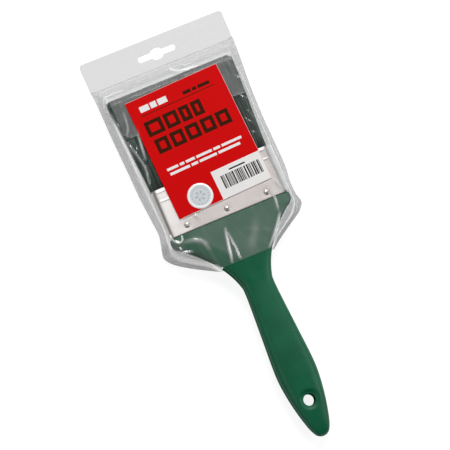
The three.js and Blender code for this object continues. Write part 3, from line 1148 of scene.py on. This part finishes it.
def framed(blocks, stroke):
    """Each block with a red opening inside it, so that it is an empty box drawn with the stroke."""
    holes = [(b[0] + stroke, b[1] - stroke, b[2] + stroke, b[3] - stroke, RED) for b in blocks]
    return blocks + holes


def stripe_code(left, right, low, high):
    """Upright stripes of seeded widths that spell nothing."""
    blocks, at = [], left
    while at < right - 1:
        bar, space = print_rng.choice([0.5, 0.8, 1.2]), print_rng.choice([0.4, 0.5, 1.0])
        blocks.append((at, at + bar, low, high, BLACK))
        at += bar + space
    return blocks


def card_print():
    """The card's print as rectangles (left, right, low, high, ink), painted in this order."""
    half_width, half_height = card_size / 2
    blocks = [(-half_width, half_width, -half_height, half_height, RED)]
    # Two small marks at the top with a rule below them.
    blocks += word_blocks(-31.5, -8, 39.4, 44.4, [3, 2, 3], 1.2, WHITE)
    blocks += word_blocks(5.5, 28.7, 38.9, 41.7, [2, 1, 3], 1.4, DARK)
    blocks.append((-32.5, 31.7, 36.2, 36.8, DARK))
    # Two rows of empty boxes, then two fine lines of blocks.
    blocks += framed(word_blocks(-33.6, 15.4, 18.4, 31.2, [5, 4, 3, 3], 2.0, DARK), 3.1)
    blocks += framed(word_blocks(-32, 32, 2.6, 15.0, [4, 4, 4, 4, 4], 2.2, DARK), 3.1)
    blocks += word_blocks(-32.4, 32.6, -12.6, -10.4, [5, 2, 4, 7, 3, 9], 1.4, WHITE)
    blocks += word_blocks(-31.5, 29.5, -16.8, -14.6, [9, 3, 8, 10], 1.4, WHITE)
    # The white panel with its stripes.
    blocks.append((-2.1, half_width, -half_height, -27.4, WHITE))
    blocks.append((12, 26, -32, -30.8, BLACK))
    blocks += stripe_code(3.4, 37.4, -44.6, -33.6)
    # A pale rim along three edges.
    blocks.append((-half_width, half_width, half_height - 0.35, half_height, RIM))
    blocks.append((half_width - 0.35, half_width, -half_height, half_height, RIM))
    blocks.append((-half_width, half_width, -half_height, -half_height + 0.3, WHITE))
    return blocks


def paint(mesh, inks):
    """Stores one ink per face."""
    attribute = mesh.attributes.new("ink", "FLOAT_COLOR", "FACE")
    attribute.data.foreach_set("color", np.array(inks, np.float32).ravel())


def build_card():
    """The card is cut into cells along every edge of its print, so that each cell is one ink."""
    blocks = card_print()
    us = {round(float(edge), 3) for block in blocks for edge in block[:2]}
    vs = {round(float(edge), 3) for block in blocks for edge in block[2:4]}
    us = np.array(sorted(us | set(np.linspace(-40, 40, 17))))
    vs = np.array(sorted(vs | set(np.linspace(-51, 51, 21))))
    u, v = np.meshgrid(us, vs)
    thickness = card_high[2] - card_low[2] - BOW_ROOM
    top = card_low[2] + thickness + CARD_BOW * np.cos(u / 26) * np.cos(v / 33)
    x = card_centre[0] + u * cos(card_turn) - v * sin(card_turn)
    y = card_centre[1] + u * sin(card_turn) + v * cos(card_turn)
    upper = as_points(x, y, top)
    lower = upper - (0, 0, thickness)
    front = grid_faces(*u.shape)
    back = [tuple(i + len(upper) for i in reversed(face)) for face in front]
    rim = edge_loop(np.arange(u.size).reshape(u.shape))
    sides = bridge([i + len(upper) for i in rim], rim)
    inks = []
    for cv in (vs[:-1] + vs[1:]) / 2:
        for cu in (us[:-1] + us[1:]) / 2:
            covering = [b for b in blocks if b[0] < cu < b[1] and b[2] < cv < b[3]]
            inks.append(covering[-1][4] if covering else RED)
    inks += [BOARD] * len(back) + [WHITE] * len(sides)
    mesh = new_piece(
        "printed_card", np.vstack([upper, lower]), front + back + sides, "packaging",
        printed_card(), "printed_card", ["card_insert"], sharp=30,
    )
    paint(mesh, inks)


def build_seal():
    """A round foil sticker with a raised ring inside its edge."""
    low, high = seal_low[2], seal_high[2]
    around = 72
    profile = [(radius, high - 0.05) for radius in (0.2, *PETALS, *DASHES, 8.4)]
    profile += [(8.7, high), (9.3, high), (9.6, high - 0.05), (seal_radius - 0.05, high - 0.06)]
    profile += [(seal_radius, high - 0.1), (seal_radius, low), (0.2, low)]
    points = turned_rings(profile, around, seal_centre)
    faces = grid_faces(len(profile), around, closed=True) + end_faces(len(profile), around)
    mesh = new_piece(
        "foil_seal", points, faces, "packaging", seal_foil(), "seal_foil", ["round_seal"], sharp=40
    )
    inks = []
    for face in mesh.polygons:
        from_centre = (Vector(face.center) / MM - Vector(seal_centre)).xy
        out = from_centre.length
        turn = atan2(from_centre.y, from_centre.x)
        petal = PETALS[0] < out < PETALS[1] and cos(6 * turn) > 0
        dash = DASHES[0] < out < DASHES[1] and cos(18 * turn) > 0
        if out > 8.5:
            inks.append(FOIL_EDGE)
        else:
            inks.append(FOIL_PRINT if petal or dash else FOIL)
    paint(mesh, inks)


# -------- hidden nodes
def dress_hidden_nodes():
    """The plug and the setting keep their CAD shape, with softened edges and their own materials."""
    for node, material in (("spacer_plug", plug_wood()), ("epoxy_setting", cast_epoxy())):
        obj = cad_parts[node]
        obj.data.materials.clear()
        obj.data.materials.append(material)
        bevel = obj.modifiers.new("soft_edges", "BEVEL")
        bevel.width = 0.25 * MM
        bevel.segments = 2
        bevel.limit_method = "ANGLE"


# -------- stage
def build_floor():
    """A square of 12 m, just under the object. Sizes from here on are metres."""
    mesh = bpy.data.meshes.new("studio_floor")
    half, gap = 6.0, 0.0004
    corners = [(-half, -half, 0), (half, -half, 0), (half, half, 0), (-half, half, 0)]
    mesh.from_pydata(corners, [], [(0, 1, 2, 3)])
    mesh.materials.append(studio_floor())
    floor = add_object("studio_floor", mesh)
    floor.location.z = cad_box[0].z - gap


def direction(azimuth, elevation):
    """From the brush outwards; azimuth 0 is beyond the handle's butt and grows towards +X."""
    level = cos(elevation)
    return Vector((sin(azimuth) * level, -cos(azimuth) * level, sin(elevation)))


def soft_light(name, azimuth, elevation, distance, size, power):
    """A square soft box that faces the ferrule, placed by angles in degrees."""
    light = bpy.data.lights.new(name, "AREA")
    light.shape = "SQUARE"
    light.size = size
    light.energy = power
    obj = add_object(name, light)
    out = direction(radians(azimuth), radians(elevation))
    obj.location = Vector((0, 0, middle * MM)) + out * distance
    obj.rotation_euler = (-out).to_track_quat("-Z", "Y").to_euler()


def build_lights():
    """A key light beyond the tips, a weaker one on each side and a dim white surround."""
    soft_light("key_from_tips", azimuth=160, elevation=50, distance=2.2, size=1.0, power=34)
    soft_light("left", azimuth=-82, elevation=50, distance=2.4, size=0.5, power=6)
    soft_light("right", azimuth=78, elevation=40, distance=2.6, size=1.36, power=18)
    world = bpy.data.worlds.new("studio")
    world.use_nodes = True
    background = world.node_tree.nodes["Background"]
    background.inputs["Color"].default_value = (1, 1, 1, 1)
    background.inputs["Strength"].default_value = 0.14
    scene.world = world


def build_camera():
    """Almost straight above, and turned so that the handle points to the lower right."""
    roll = radians(9.76)
    distance = 1.106
    target = Vector((-5.54, -4.73, middle)) * MM
    out = direction(camera_azimuth, camera_elevation)
    right = (-out).cross(Vector((0, 0, 1))).normalized()
    up = right.cross(-out)
    turned_right = right * cos(roll) + up * sin(roll)
    turned_up = up * cos(roll) - right * sin(roll)
    turned = Matrix((turned_right, turned_up, out)).transposed()
    data = bpy.data.cameras.new("camera")
    data.lens = 111.45
    data.sensor_width = 36
    camera = add_object("camera", data)
    camera.matrix_world = Matrix.Translation(target + out * distance) @ turned.to_4x4()
    scene.camera = camera


build_handle()
build_ferrule()
build_nails()
strands = filament()
build_bristles("bristle_pack_front", 1, "bristles_front", strands)
build_bristles("bristle_pack_back", -1, "bristles_back", strands)
build_bag()
build_card()
build_seal()
dress_hidden_nodes()
build_floor()
build_lights()
build_camera()

scene.view_settings.view_transform = "Standard"
scene.cycles.transparent_max_bounces = 32
